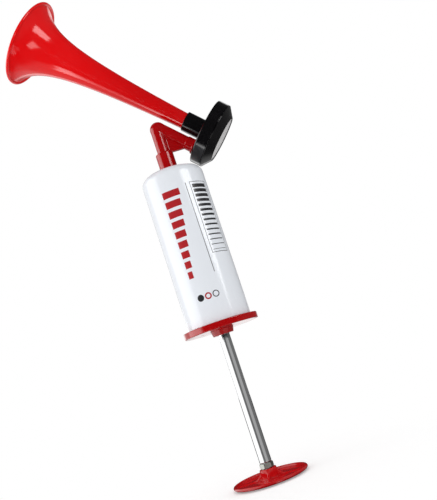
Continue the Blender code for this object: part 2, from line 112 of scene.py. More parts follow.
def points_of(node):
    """The corner points of a node in the frame, each once."""
    places = {tuple(round(c, 6) for c in v.co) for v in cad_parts[node].data.vertices}
    return [Vector(place) for place in places]


def middle_of(node):
    points = points_of(node)
    return sum(points, Vector()) / len(points)


def span(node, place):
    """Lowest and highest point of a node along the axis of a place."""
    heights = [(place.inverted() @ point).z for point in points_of(node)]
    return min(heights), max(heights)


def reach(node, place):
    """The largest distance of a node's points from the axis of a place."""
    return max((place.inverted() @ point).xy.length for point in points_of(node))


def horn_place():
    """The trumpet's axis: +Z runs to the mouth, and the origin is the middle of the housing's front face."""
    back = middle_of("rear_disc")
    along = (middle_of("bell") - back).normalized()
    across = Vector((along.z, 0, -along.x))
    turn = Matrix((across, along.cross(across), along)).transposed().to_4x4()
    rim_back = span("housing_shell", Matrix.Translation(back) @ turn)[0]
    return Matrix.Translation(back + along * (rim_back + HOUSING_RIM)) @ turn


PUMP = Matrix()
HORN = horn_place()
BARREL_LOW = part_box("barrel")[0].z
NIPPLE_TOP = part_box("barrel")[1].z
CAP_LOW, CAP_HIGH = span("end_cap", PUMP)
ROD_LOW, ROD_HIGH = span("pump_rod", PUMP)
NUT_LOW, NUT_HIGH = span("lock_nut", PUMP)
STEM_END, MOUTH_END = span("bell", HORN)
COLLAR_END = span("housing_shell", HORN)[1]
RING_BACK, RING_FRONT = span("retaining_ring", HORN)
DISC_BACK, DISC_FRONT = span("rear_disc", HORN)


def linear(colour):
    """An sRGB hex colour as linear red, green and blue."""
    parts = [int(colour[i:i + 2], 16) / 255 for i in (1, 3, 5)]
    return [p / 12.92 if p <= 0.04045 else ((p + 0.055) / 1.055) ** 2.4 for p in parts]


WHITE = (*linear("#FFFFFF"), 1)


def length(name, description, default):
    return FloatProperty(
        name=name, description=description, default=default, min=0, precision=5,
        subtype="DISTANCE", unit="LENGTH"
    )


def angle(name, description, degrees):
    return FloatProperty(name=name, description=description, default=math.radians(degrees), subtype="ANGLE")


def colour(name, description, default):
    return FloatVectorProperty(
        name=name, description=description, default=linear(default), min=0, max=1, subtype="COLOR"
    )


class BellSizes(PropertyGroup):
    """Sizes of the trumpet."""

    mouth_radius: length("Mouth radius", "Outside of the rolled lip", reach("bell", HORN))
    stem_radius: length("Stem radius", "Outside of the plain stem in the collar", 0.0067)
    wall: length("Wall", "Thickness of the trumpet's wall", 0.0016)
    flare_depth: length("Flare depth", "How quickly the flare narrows behind the mouth", 0.0135)
    flare_start: length("Flare start", "Depth at which the flare leaves the lip", 0.0016)
    lip_radius: length("Lip radius", "Radius of the rolled lip", 0.0011)


class HousingSizes(PropertyGroup):
    """Sizes of the sound housing, its clamp ring and its cover disc."""

    radius: length("Radius", "Outside of the housing's rim", reach("housing_shell", HORN))
    edge: length("Edge", "Rounding of the rim's front edge", 0.0011)
    collar_radius: length("Collar radius", "Outside of the collar that holds the stem", 0.0083)
    collar_bore: length("Collar bore", "Inside of the collar", 0.0070)
    stem_seat: length("Stem seat", "Height of the stop under the stem", 0.0027)
    side: length("Side wall", "Thickness of the rim's wall", 0.0026)
    front_wall: length("Front wall", "Thickness of the front face", 0.0020)
    clamp_width: length("Clamp width", "Width of the ledge under the diaphragm", 0.0020)
    nozzle_radius: length("Nozzle radius", "Outside of the nozzle under the diaphragm", 0.0060)
    nozzle_bore: length("Nozzle bore", "Inside of the nozzle", 0.0040)
    inlet_radius: length("Inlet radius", "Hole for the elbow's spigot", 0.0043)
    inlet_offset: length("Inlet offset", "Distance of the inlet from the trumpet's axis", 0.0158)
    ring_land: length("Ring land", "Straight edge of the clamp ring before its chamfer", 0.0005)
    ring_edge: length("Ring edge", "Rounding between that straight edge and the chamfer", 0.0009)
    ring_lip: length("Ring lip", "Width of the ring's thin lip round the disc", 0.0006)
    ring_ledge: length("Ring ledge", "Width of the ledge that the disc sits on", 0.0037)
    ring_web: length("Ring web", "Thickness of that ledge", 0.0014)
    disc_radius: length("Disc radius", "Outside of the pale cover disc", reach("rear_disc", HORN))
    disc_edge: length("Disc edge", "Thickness of the cover disc at its edge", 0.0009)


class ElbowSizes(PropertyGroup):
    """Sizes of the elbow."""

    leg_radius: length("Leg radius", "Outside of both legs", 0.0050)
    leg_bore: length("Leg bore", "Air passage in both legs", 0.0030)
    leg_length: length("Second leg", "From the apex to the housing's front face", 0.0371)
    apex_radius: length("Apex radius", "Rounding of the outer corner", 0.0064)
    apex_bulge: length("Apex bulge", "How far that corner stands proud before it is eased", 0.0002)
    socket_radius: length("Socket radius", "Outside of the socket on the canister", 0.00715)
    socket_bore: length("Socket bore", "Inside of the socket", 0.0051)
    socket_roof: length("Socket roof", "Thickness over the nipple", 0.0034)
    socket_air: length("Socket air", "Gap over the nipple", 0.0006)
    end_radius: length("End radius", "Thicker end at the housing", 0.0056)
    end_length: length("End length", "Length of the thicker end", 0.0086)
    flange_radius: length("Flange radius", "Thin flange at the housing", 0.0067)
    flange_thickness: length("Flange thickness", "Thickness of that flange", 0.0012)
    spigot_radius: length("Spigot radius", "Spigot in the housing's inlet", 0.0040)
    web_thickness: length("Web thickness", "Plate in the inner corner", 0.0030)
    web_drop: length("Web drop", "How far the web's edge lies under the socket's step", 0.0005)


class BarrelSizes(PropertyGroup):
    """Sizes of the canister."""

    radius: length("Radius", "Outside of the canister", reach("barrel", PUMP))
    wall: length("Wall", "Thickness of the canister's wall", 0.0015)
    top_wall: length("Top wall", "Thickness of the canister's top", 0.0025)
    shoulder: length("Shoulder", "Rounding of the canister's top edge", 0.0070)
    nipple_radius: length("Nipple radius", "Outside of the outlet nipple", 0.0045)
    nipple_height: length("Nipple height", "Height of the outlet nipple", 0.0140)
    nipple_bore: length("Nipple bore", "Air outlet", 0.0020)
    groove_radius: length("Groove radius", "Bottom of the seal ring's groove", 0.0034)
    groove_width: length("Groove width", "Width of the seal ring's groove", 0.0016)


class CapSizes(PropertyGroup):
    """Sizes of the end cap."""

    flange_radius: length("Flange radius", "Outside of the flange", reach("end_cap", PUMP))
    flange_thickness: length("Flange thickness", "Thickness of the flange", 0.0048)
    flange_edge: length("Flange edge", "Rounding of the flange's rim", 0.0006)
    boss_height: length("Boss height", "Height of the boss under the flange", 0.0042)
    boss_radius: length("Boss radius", "Outside of the boss at the flange", 0.0092)
    boss_draft: length("Boss draft", "How much the boss narrows downwards", 0.0011)
    bore: length("Bore", "Seat of the rod bush", 0.0068)
    rod_hole: length("Rod hole", "Lip round the rod", 0.0052)
    lip: length("Lip", "Thickness of the lip under the bush", 0.0012)
    hub_radius: length("Hub radius", "Outside of the hub inside the canister", 0.0102)
    spigot_radius: length("Spigot radius", "Outside of the spigot in the canister", 0.0232)
    spigot_wall: length("Spigot wall", "Thickness of the spigot", 0.0026)
    vent_radius: length("Vent radius", "Radius of each air hole", 0.0015)
    vent_count: IntProperty(name="Vents", description="Number of air holes", default=3, min=1)


class PlungerSizes(PropertyGroup):
    """Sizes of the rod, nut and handle."""

    rod_radius: length("Rod radius", "Outside of the plated rod", reach("pump_rod", PUMP))
    rod_wall: length("Rod wall", "Wall of the rod's tube", 0.0011)
    rod_plug: length("Rod plug", "Solid length at the rod's lower end", 0.0060)
    stud_radius: length("Stud radius", "Stud under the rod", 0.0030)
    nut_corner: length("Nut corner", "From the nut's axis to a corner", reach("lock_nut", PUMP))
    nut_chamfer: length("Nut chamfer", "Height of the chamfer on the nut's corners", 0.0005)
    nut_turn: angle("Nut turn", "Angle of the nut's flats", 30)
    handle_radius: length("Handle radius", "Outside of the handle", reach("handle_disc", PUMP))
    bead: length("Bead", "Radius of the handle's rounded rim", 0.0013)
    bead_height: length("Bead height", "Middle of the handle's rounded rim", 0.0022)
    foot_radius: length("Foot radius", "Flat ring that the handle stands on", 0.0225)
    floor: length("Floor", "Thickness of the handle's dish", 0.0016)
    boss_radius: length("Boss radius", "Outside of the handle's boss", 0.0065)
    boss_height: length("Boss height", "Top of the handle's boss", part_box("handle_disc")[1].z)
    stud_floor: length("Stud floor", "Bottom of the stud's hole", 0.0022)
    rib_thickness: length("Rib thickness", "Thickness of each rib", 0.0018)
    rib_top: length("Rib top", "Height of a rib at the boss", 0.0080)
    rib_low: length("Rib low", "Height of a rib at the rim", 0.0023)
    rib_sweep: length("Rib sweep", "Run over which a rib sweeps down", 0.0075)
    rib_turn: angle("Rib turn", "Angle of the first rib", -105)
    rib_count: IntProperty(name="Ribs", description="Number of ribs", default=4, min=1)


class Finishes(PropertyGroup):
    """Colours of the pieces."""

    bell_red: colour("Bell red", "Bright red of the trumpet's stem", "#DA080C")
    # Painted light: a brighter red painted on the trumpet's mouth, standing in for the light on the flare
    mouth_painted_light_red: colour("Mouth red", "Red of the trumpet's thin mouth, where light comes through", "#F00D11")
    deep_red: colour("Deep red", "Deeper red of the elbow and end cap", "#B20509")
    # Painted light: the handle is the same red plastic as the elbow and end cap, painted lighter for the
    # stronger light on it
    handle_red: colour("Handle red", "Red of the handle", "#CF1015")
    white: colour("White", "Canister", "#F0F4FA")
    print_red: colour("Print red", "Red of the print", "#B5161E")
    print_dark: colour("Print dark", "Dark grey of the print", "#2B2B2E")
    black: colour("Black", "Housing and clamp ring", "#0D0C0E")
    pale_grey: colour("Pale grey", "Cover disc", "#E2E0E3")
    chrome: colour("Chrome", "Plated rod", "#D9DADB")
    zinc: colour("Zinc", "Nut, washers and bolt", "#B9BBB4")


class StageSettings(PropertyGroup):
    """Camera, even light and floor."""

    camera_place: FloatVectorProperty(
        name="Camera", description="Where the camera stands", default=(-0.04648, -0.51715, 0.08787),
        subtype="XYZ"
    )
    camera_target: FloatVectorProperty(
        name="Target", description="Point in the middle of the view", default=(0.01600, -0.00831, 0.17492),
        subtype="XYZ"
    )
    camera_roll: angle("Roll", "Turn of the camera about its line of sight", -18.58)
    camera_lens: FloatProperty(
        name="Lens", description="Focal length for a 36 mm sensor", default=48.41, subtype="DISTANCE_CAMERA"
    )
    ambient: FloatProperty(name="Ambient", description="Strength of the even light", default=0.74, min=0)
    floor_radius: length("Floor radius", "Size of the pale floor", 3.0)


def rounded(corners):
    """The points of an outline whose corners become small arcs, with a row beside each arc."""
    outline = []
    for i, (out, height, rounding) in enumerate(corners):
        corner = Vector((out, height))
        if rounding == 0:
            outline.append(corner)
            continue
        before = Vector(corners[i - 1][:2]) - corner
        after = Vector(corners[(i + 1) % len(corners)][:2]) - corner
        half = before.angle(after) / 2
        run = min(rounding / math.tan(half), SIDE_SHARE * before.length, SIDE_SHARE * after.length)
        start = before.normalized() * run
        end = after.normalized() * run
        centre = (before.normalized() + after.normalized()).normalized() * run / math.cos(half)
        first = math.atan2(*(start - centre).yx)
        turn = math.remainder(math.atan2(*(end - centre).yx) - first, math.tau)
        radius = run * math.tan(half)
        if before.length > 2 * (run + HOLD):
            outline.append(corner + before.normalized() * (run + HOLD))
        for k in range(ARC_STEPS + 1):
            bend = first + turn * k / ARC_STEPS
            outline.append(corner + centre + radius * Vector((math.cos(bend), math.sin(bend))))
        if after.length > 2 * (run + HOLD):
            outline.append(corner + after.normalized() * (run + HOLD))
    return outline


def arc(out, height, radius, first, last, steps):
    """Corners on an arc about (out, height), from one angle in degrees to another."""
    bends = [math.radians(first + (last - first) * k / steps) for k in range(steps + 1)]
    return [(out + radius * math.cos(bend), height + radius * math.sin(bend), 0) for bend in bends]


def piece_of(name, bm, place=PUMP):
    """A linked object at the origin from a bmesh, which is moved to its place and shaded."""
    bm.transform(place)
    mesh = bpy.data.meshes.new(name)
    bm.to_mesh(mesh)
    bm.free()
    mesh.shade_smooth()
    mesh.set_sharp_from_angle(angle=SHARP)
    piece = bpy.data.objects.new(name, mesh)
    bpy.context.scene.collection.objects.link(piece)
    return piece


def turned(name, corners, place=PUMP, steps=TURN_STEPS):
    """A body of revolution. An outline that starts and ends on the axis is left open there."""
    outline = rounded(corners)
    bm = bmesh.new()
    row = [bm.verts.new((out, 0, height)) for out, height in outline]
    edges = [bm.edges.new(pair) for pair in zip(row, row[1:])]
    if outline[0][0] > MERGE:
        edges.append(bm.edges.new((row[-1], row[0])))
    bmesh.ops.spin(
        bm, geom=row + edges, cent=(0, 0, 0), axis=(0, 0, 1), angle=math.tau, steps=steps, use_merge=True
    )
    bmesh.ops.remove_doubles(bm, verts=bm.verts, dist=MERGE)
    bmesh.ops.recalc_face_normals(bm, faces=bm.faces)
    return piece_of(name, bm, place)


def plate(name, outline, thickness, place):
    """A flat plate of an outline of (x, z) points, as thick on both sides of the XZ plane."""
    bm = bmesh.new()
    face = bm.faces.new([bm.verts.new((x, -thickness / 2, z)) for x, z in outline])
    walls = bmesh.ops.extrude_face_region(bm, geom=[face])["geom"]
    moved = [item for item in walls if isinstance(item, bmesh.types.BMVert)]
    bmesh.ops.translate(bm, vec=(0, thickness, 0), verts=moved)
    bmesh.ops.recalc_face_normals(bm, faces=bm.faces)
    return piece_of(name, bm, place)


def bar(name, radius, low, high, place=PUMP, sides=SMALL_STEPS):
    """A plain bar, used to cut bores and as the nut's blank."""
    bm = bmesh.new()
    middle = Matrix.Translation((0, 0, (low + high) / 2))
    bmesh.ops.create_cone(
        bm, cap_ends=True, segments=sides, radius1=radius, radius2=radius, depth=high - low, matrix=middle
    )
    return piece_of(name, bm, place)


def shaped(body, joined=(), cut=(), kept=(), skin=False):
    """Joins, cuts and trims a body with helpers, which go. A skin rounds every corner as a mould does."""
    steps = [(helper, "UNION") for helper in joined]
    steps += [(helper, "DIFFERENCE") for helper in cut]
    steps += [(helper, "INTERSECT") for helper in kept]
    for helper, operation in steps:
        boolean = body.modifiers.new(helper.name, "BOOLEAN")
        boolean.operation = operation
        boolean.solver = "EXACT"
        boolean.object = helper
    if skin:
        remesh = body.modifiers.new("Skin", "REMESH")
        remesh.mode = "VOXEL"
        remesh.voxel_size = SKIN_VOXEL
        ease = body.modifiers.new("Ease", "SMOOTH")
        ease.factor = SKIN_EASE
        ease.iterations = SKIN_PASSES
    bpy.context.view_layer.update()
    done = bpy.data.meshes.new_from_object(body.evaluated_get(bpy.context.evaluated_depsgraph_get()))
    body.modifiers.clear()
    body.data = done
    done.shade_smooth()
    if not skin:
        done.set_sharp_from_angle(angle=SHARP)
    for helper, _ in steps:
        bpy.data.objects.remove(helper)
    if not done.polygons:
        raise RuntimeError(f"{body.name} came out empty")
    return body


def fit(piece, material, body, slot, *nodes):
    """Gives a finished piece its material and says which body it rides on and which nodes it stands for."""
    piece.data.materials.clear()
    piece.data.materials.append(material)
    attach(piece, body)
    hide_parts(*nodes)


def staged(wall, *unseen):
    """Makes a wall or the floor unseen by some kinds of rays."""
    for kind in unseen:
        setattr(wall, "visible_" + kind, False)


def add_node(tree, kind, inputs=None, **settings):
    """Adds a node with its settings. An input, by name or number, is a value, or a socket or node to link."""
    node = tree.nodes.new("ShaderNode" + kind)
    for name, value in settings.items():
        setattr(node, name, value)
    for name, value in (inputs or {}).items():
        if isinstance(value, bpy.types.Node):
            value = next(output for output in value.outputs if output.enabled)
        if isinstance(value, bpy.types.NodeSocket):
            tree.links.new(value, node.inputs[name])
        else:
            node.inputs[name].default_value = value
    return node


def blank(kind, name):
    """A new material or world with nothing in its node tree, and add_node for that tree."""
    made = kind.new(name)
    made.use_nodes = True
    made.node_tree.nodes.clear()
    return made, functools.partial(add_node, made.node_tree)


# A ramp without corners
SOFT_RAMP = {"interpolation_type": "SMOOTHSTEP"}


def mottled(add, place, size, detail, tint, dark):
    """Clouds of a size, and a colour that sinks towards a darker share of itself between them."""
    clouds = add("TexNoise", {"Vector": place, "Scale": 1 / size, "Detail": detail})
    shade = (*[part * dark for part in tint], 1)
    return clouds, add("Mix", {"Factor": clouds, 6: shade, 7: (*tint, 1)}, data_type="RGBA")


def smudged(add, place, size, detail, low, high):
    """Roughness between two levels, dull where smudges of a size lie."""
    marks = add("TexNoise", {"Vector": place, "Scale": 1 / size, "Detail": detail})
    return add(
        "MapRange", {"Value": marks, "From Min": 0.35, "From Max": 0.75, "To Min": low, "To Max": high}
    )


def sunken(add, place, size, strength, depth):
    """The soft waves of a moulded skin that has sunk over its walls, drawn deeper than real to show."""
    sink = add("TexNoise", {"Vector": place, "Scale": 1 / size, "Detail": 1.0})
    return add("Bump", {"Height": sink, "Strength": strength, "Distance": depth})


# Moulded ABS: how much a smudge adds to its roughness, and for each finish its colour, the roughness of its
# gloss and the strength of its waves
ABS_IOR = 1.54
SMUDGE = 0.06
ABS_FINISHES = {
    "bright_red_abs": ("bell_red", 0.09, 0.08),
    "deep_red_abs": ("deep_red", 0.08, 0.08),
    # Painted light: the handle's finish is the deep red plastic painted lighter for the stronger light on it
    "handle_red_abs": ("handle_red", 0.08, 0.08),
    "satin_black_abs": ("black", 0.11, 0.064),
}


def moulded_abs(context, name):
    """Injection-moulded ABS: an even colour with a breath of flow marks, and a gloss that waves softly as the
    skin sinks a little over its walls, with smudges that dull it here and there. The bright red is the
    trumpet's, and towards its thin mouth it is painted brighter: painted light, not a colour of the plastic."""
    if name in bpy.data.materials:
        return bpy.data.materials[name]
    finishes = context.scene.air_horn_finishes
    tone, gloss, waves = ABS_FINISHES[name]
    material, add = blank(bpy.data.materials, name)
    place = add("TexCoord").outputs["Object"]
    _, skin = mottled(add, place, size=22 * MM, detail=3.0, tint=getattr(finishes, tone), dark=0.86)
    # Painted light: towards the mouth the red fades into a brighter red, standing in for the light on the
    # flare
    if name == "bright_red_abs":
        mouth = HORN @ Vector((0, 0, MOUTH_END))
        far = add("VectorMath", {0: place, 1: mouth}, operation="DISTANCE")
        thin = add(
            "MapRange",
            {"Value": far, "From Min": 30 * MM, "From Max": 110 * MM, "To Min": 1.0, "To Max": 0.0},
            **SOFT_RAMP
        )
        skin = add("Mix", {"Factor": thin, 6: skin, 7: (*finishes.mouth_painted_light_red, 1)}, data_type="RGBA")
    rough = smudged(add, place, size=9 * MM, detail=5.0, low=gloss, high=gloss + SMUDGE)
    wave = sunken(add, place, size=6 * MM, strength=waves, depth=0.12 * MM)
    shader = add("BsdfPrincipled", {"Base Color": skin, "Roughness": rough, "Normal": wave, "IOR": ABS_IOR})
    add("OutputMaterial", {"Surface": shader})
    return material


# How a plain finish varies: noise detail, the darkest share of its colour, bump strength, bump depth as a
# share of the grain, and how many times longer the grain runs upwards
CLOUDS = (4.0, 0.8, 0.2, 1 / 20, 1)
DIE_LINES = (3.0, 0.86, 0.08, 1 / 12, 100)


def plain_finish(name, tint, settings, low, high, grain, variation=CLOUDS):
    """A plain technical surface: its colour and roughness vary between two levels over a grain size."""
    if name in bpy.data.materials:
        return bpy.data.materials[name]
    detail, dark, bump, depth, stretch = variation
    material, add = blank(bpy.data.materials, name)
    place = add("TexCoord").outputs["Object"]
    scale = (1 / grain, 1 / grain, 1 / (grain * stretch))
    sized = add("Mapping", {"Vector": place, "Scale": scale})
    clouds, skin = mottled(add, sized, 1, detail, tint, dark)
    spread = {"From Min": 0.3, "From Max": 0.7, "To Min": low, "To Max": high}
    rough = add("MapRange", {"Value": clouds, **spread})
    relief = add("Bump", {"Height": clouds, "Strength": bump, "Distance": grain * depth})
    shader = add("BsdfPrincipled", {"Base Color": skin, "Roughness": rough, "Normal": relief, **settings})
    add("OutputMaterial", {"Surface": shader})
    return material


def chrome_plate(finishes):
    """Chromium plate on drawn steel: a bright mirror with the drawing die's long faint lines under it."""
    return plain_finish(
        "chrome_plated_steel", finishes.chrome, {"Metallic": 1.0}, low=0.07, high=0.14, grain=0.6 * MM,
        variation=DIE_LINES
    )


def zinc_plate(finishes):
    """Bright zinc plate on steel: a cool grey shine, clouded over its crystals, which are drawn coarser than
    real."""
    return plain_finish(
        "zinc_plated_steel", finishes.zinc, {"Metallic": 1.0}, low=0.2, high=0.36, grain=1.2 * MM
    )


# The print on the canister in millimetres round from its front and up from its lower edge. It says nothing.
# Boxes run from left to right and from low to high, rings from an inner to an outer radius about a middle.
RED_BOXES = [(-14.0, 1.25 * k - 10.0, 8.0 * k + 36.0, 8.0 * k + 41.4) for k in range(9)]
RED_RINGS = [(-4.0, 20.0, 1.5, 2.6)]
DARK_BOXES = [
    (6.0, 6.5, 36.0, 108.0),
    (9.5, 27.0, 50.0, 50.45),
    (9.5, 27.0, 107.55, 108.0),
    (9.5, 9.95, 50.0, 108.0),
    (26.55, 27.0, 50.0, 108.0),
    *[(11.2, 25.3, 3.9 * k + 52.2, 3.9 * k + 52.6 + 0.2 * k) for k in range(14)],
]
DARK_RINGS = [(-10.0, 20.0, 0.0, 2.6), (2.0, 20.0, 1.9, 2.6)]

# How much the ink adds to the plastic's roughness
INK_ROUGHNESS = 0.14


def printed_abs(finishes, radius):
    """Glossy white ABS with a screen print in flat ink: a stack of red bars that widen upwards, a dark rule,
    a framed panel of lines that thicken upwards, and three small discs. The ink is duller than the plastic
    and stands on it a little; it is drawn thicker than real ink so that its edge shows."""
    material, add = blank(bpy.data.materials, "printed_white_abs")
    place = add("TexCoord").outputs["Object"]
    axes = add("SeparateXYZ", {"Vector": place}).outputs
    front = add("Math", {0: axes["Y"], 1: -1.0}, operation="MULTIPLY")
    turn = add("Math", {0: axes["X"], 1: front}, operation="ARCTAN2")
    across = add("Math", {0: turn, 1: radius / MM}, operation="MULTIPLY")
    above = add("Math", {0: axes["Z"], 1: BARREL_LOW}, operation="SUBTRACT")
    up = add("Math", {0: above, 1: 1 / MM}, operation="MULTIPLY")
    sheet = add("CombineXYZ", {"X": across, "Y": up})
    inks = []
    for boxes, rings in ((RED_BOXES, RED_RINGS), (DARK_BOXES, DARK_RINGS)):
        marks = []
        for left, right, low, high in boxes:
            sides = []
            for run, first, last in ((across, left, right), (up, low, high)):
                limits = {0: run, 1: (first + last) / 2, 2: (last - first) / 2}
                sides.append(add("Math", limits, operation="COMPARE"))
            marks.append(add("Math", dict(enumerate(sides)), operation="MULTIPLY"))
        for x, z, inner, outer in rings:
            out = add("VectorMath", {0: sheet, 1: (x, z, 0)}, operation="DISTANCE")
            limits = {0: out, 1: (inner + outer) / 2, 2: (outer - inner) / 2}
            marks.append(add("Math", limits, operation="COMPARE"))
        ink = marks[0]
        for mark in marks[1:]:
            ink = add("Math", {0: ink, 1: mark}, operation="MAXIMUM")
        inks.append(ink)

    _, skin = mottled(add, place, size=30 * MM, detail=2.0, tint=finishes.white, dark=0.97)
    for ink, tint in zip(inks, (finishes.print_red, finishes.print_dark)):
        skin = add("Mix", {"Factor": ink, 6: skin, 7: (*tint, 1)}, data_type="RGBA")
    inked = add("Math", dict(enumerate(inks)), operation="MAXIMUM")
    gloss = smudged(add, place, size=12 * MM, detail=4.0, low=0.13, high=0.2)
    rough = add("Math", {0: inked, 1: INK_ROUGHNESS, 2: gloss}, operation="MULTIPLY_ADD")
    wave = sunken(add, place, size=8 * MM, strength=0.08, depth=0.1 * MM)
    edge = add("Bump", {"Height": inked, "Strength": 0.15, "Distance": 0.02 * MM, "Normal": wave})
    shader = add("BsdfPrincipled", {"Base Color": skin, "Roughness": rough, "Normal": edge, "IOR": ABS_IOR})
    add("OutputMaterial", {"Surface": shader})
    return material


class AIRHORN_OT_bell(Operator):
    """Turns the trumpet from its rolled lip down to the stem in the collar"""

    bl_idname = "airhorn.bell"
    bl_label = "Trumpet"

    def execute(self, context):
        sizes = context.scene.air_horn_bell
        flare = sizes.flare_depth
        depth_end = MOUTH_END - COLLAR_END
        power = math.log(sizes.mouth_radius / sizes.stem_radius) / math.log(1 + depth_end / flare)
        growth = (flare + depth_end) / (flare + sizes.flare_start)
        outer = []
        inner = []
        for k in range(FLARE_ROWS + 1):
            run = (flare + sizes.flare_start) * growth ** (k / FLARE_ROWS)
            out = sizes.mouth_radius * (flare / run) ** power
            height = MOUTH_END + flare - run
            slope = -power * out / run
            lean = math.hypot(1, slope)
            outer.append((out, height, 0))
            inner.append((out - sizes.wall / lean, height - sizes.wall * slope / lean, 0))
        outer.append((sizes.stem_radius, STEM_END, 0))
        inner.append((sizes.stem_radius - sizes.wall, STEM_END, 0))
        roll = sizes.lip_radius
        lip = arc(sizes.mouth_radius - roll, MOUTH_END - roll, roll, *LIP_ARC)
        bell = turned("trumpet_bell", lip + outer + inner[::-1], HORN)
        fit(bell, moulded_abs(context, "bright_red_abs"), "horn", "red_abs", "bell")
        return {"FINISHED"}


class AIRHORN_OT_housing(Operator):
    """Turns the black housing with its collar, the clamp ring and the pale cover disc"""

    bl_idname = "airhorn.housing"
    bl_label = "Sound housing"

    def execute(self, context):
        sizes = context.scene.air_horn_housing
        clamp = sizes.radius - sizes.side
        chamber = clamp - sizes.clamp_width
        ledge = span("diaphragm", HORN)[1] + SEAT
        shell = [
            (sizes.collar_bore, COLLAR_END, EASED),
            (sizes.collar_radius, COLLAR_END, ROUND),
            (sizes.collar_radius, 0, ROOT),
            (sizes.radius, 0, sizes.edge),
            (sizes.radius, -HOUSING_RIM, SEAM),
            (clamp, -HOUSING_RIM, FINE),
            (clamp, ledge, 0),
            (chamber, ledge, 0),
            (chamber, -sizes.front_wall, ROUND),
            (sizes.nozzle_radius, -sizes.front_wall, ROUND),
            (sizes.nozzle_radius, ledge, EASED),
            (sizes.nozzle_bore, ledge, EASED),
            (sizes.nozzle_bore, sizes.stem_seat, 0),
            (sizes.collar_bore, sizes.stem_seat, 0),
        ]
        beside = HORN @ Matrix.Translation((-sizes.inlet_offset, 0, 0))
        inlet = bar("inlet_hole", sizes.inlet_radius, -2 * sizes.front_wall, sizes.front_wall, beside)
        body = shaped(turned("sound_housing", shell, HORN), cut=[inlet])
        fit(body, moulded_abs(context, "satin_black_abs"), "horn", "black_abs", "housing_shell")
        self.make_ring(context, sizes, clamp, chamber)
        self.make_disc(context, sizes)
        return {"FINISHED"}

    def make_ring(self, context, sizes, clamp, chamber):
        spigot = clamp - SEAT
        flange = -HOUSING_RIM - SEAT
        seat_radius = sizes.disc_radius + SEAT
        seat = DISC_FRONT + SEAT
        web = seat + sizes.ring_web
        window = seat_radius - sizes.ring_ledge
        outline = [
            (chamber, RING_FRONT, 0),
            (spigot, RING_FRONT, 0),
            (spigot, flange, 0),
            (sizes.radius, flange, SEAM),
            (sizes.radius, flange - sizes.ring_land, sizes.ring_edge),
            (seat_radius + sizes.ring_lip, RING_BACK, FINE),
            (seat_radius, RING_BACK, SEAM),
            (seat_radius, seat, 0),
            (window, seat, EASED),
            (window, web, EASED),
            (chamber, web, 0),
        ]
        ring = turned("clamp_ring", outline, HORN)
        fit(ring, moulded_abs(context, "satin_black_abs"), "horn", "black_abs", "retaining_ring")

    def make_disc(self, context, sizes):
        radius = sizes.disc_radius
        edge = DISC_FRONT - sizes.disc_edge
        outline = [(0, DISC_FRONT, 0), (radius, DISC_FRONT, FINE), (radius, edge, EASED)]
        for k in range(1, CROWN_ROWS + 1):
            out = 1 - k / CROWN_ROWS
            outline.append((radius * CROWN_SHARE * out, edge - (edge - DISC_BACK) * (1 - out ** 2), 0))
        # Pale ABS moulded against a fine matt tool: an even grey with a soft sheen, cloudy over a few mm
        tint = context.scene.air_horn_finishes.pale_grey
        pale = plain_finish("pale_grey_abs", tint, {"IOR": 1.5}, low=0.26, high=0.36, grain=4 * MM)
        fit(turned("cover_disc", outline, HORN), pale, "horn", "pale_grey_abs", "rear_disc")


class AIRHORN_OT_elbow(Operator):
    """Joins the elbow's legs, apex and web into one moulding with soft corners and its air passage"""

    bl_idname = "airhorn.elbow"
    bl_label = "Elbow"

    def execute(self, context):
        sizes = context.scene.air_horn_elbow
        lean = math.acos((HORN.to_3x3() @ Vector((0, 0, 1))).z)
        beside = HORN @ Matrix.Translation((-context.scene.air_horn_housing.inlet_offset, 0, 0))
        apex_top = (beside @ Vector((0, 0, sizes.leg_length))).z
        back = (sizes.apex_radius - sizes.leg_radius) / math.sin(lean / 2)
        trim = back * math.cos(lean / 2)
        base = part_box("elbow")[0].z
        step = NIPPLE_TOP + sizes.socket_roof
        leg_top = apex_top - trim + sizes.apex_bulge
        leg_start = sizes.leg_length - trim + sizes.apex_bulge
        upright = [
            (0, leg_top, 0),
            (sizes.leg_radius, leg_top, 0),
            (sizes.leg_radius, step, 0),
            (sizes.socket_radius, step, FULL),
            (sizes.socket_radius, base, EASED),
            (0, base, 0),
        ]
        flange_low = span("inlet_gasket", HORN)[1] + SEAT
        flange_high = flange_low + sizes.flange_thickness
        spigot_end = span("elbow", HORN)[0]
        slanted = [
            (0, leg_start, 0),
            (sizes.leg_radius, leg_start, 0),
            (sizes.leg_radius, sizes.end_length, 0),
            (sizes.end_radius, sizes.end_length, EASED),
            (sizes.end_radius, flange_high, 0),
            (sizes.flange_radius, flange_high, 0),
            (sizes.flange_radius, flange_low, 0),
            (sizes.spigot_radius, flange_low, 0),
            (sizes.spigot_radius, spigot_end, 0),
            (0, spigot_end, 0),
        ]
        first_leg = turned("elbow_moulding", upright, PUMP, SMALL_STEPS)
        second_leg = turned("second_leg", slanted, beside, SMALL_STEPS)
        web_low = step - sizes.web_drop
        run = (apex_top - web_low) * math.tan(lean)
        web = plate("web", [(0, web_low), (run, web_low), (0, apex_top)], sizes.web_thickness, PUMP)
        ball = sizes.apex_radius + sizes.apex_bulge
        wide = Matrix.Scale((sizes.leg_radius + sizes.apex_bulge) / ball, 4, (0, 1, 0))
        spot = Matrix.Translation((back * math.sin(lean / 2), 0, apex_top - trim))
        bm = bmesh.new()
        bmesh.ops.create_uvsphere(
            bm, u_segments=SMALL_STEPS, v_segments=SMALL_STEPS // 2, radius=ball, matrix=spot @ wide
        )
        apex = piece_of("apex", bm)
        bores = [
            bar("socket_bore", sizes.socket_bore, base - PAST, NIPPLE_TOP + sizes.socket_air),
            bar("first_bore", sizes.leg_bore, base - PAST, leg_top),
            bar("second_bore", sizes.leg_bore, spigot_end - PAST, leg_start, beside),
        ]
        elbow = shaped(first_leg, joined=[apex, second_leg, web], cut=bores, skin=True)
        fit(elbow, moulded_abs(context, "deep_red_abs"), "horn", "red_abs", "elbow")
        return {"FINISHED"}


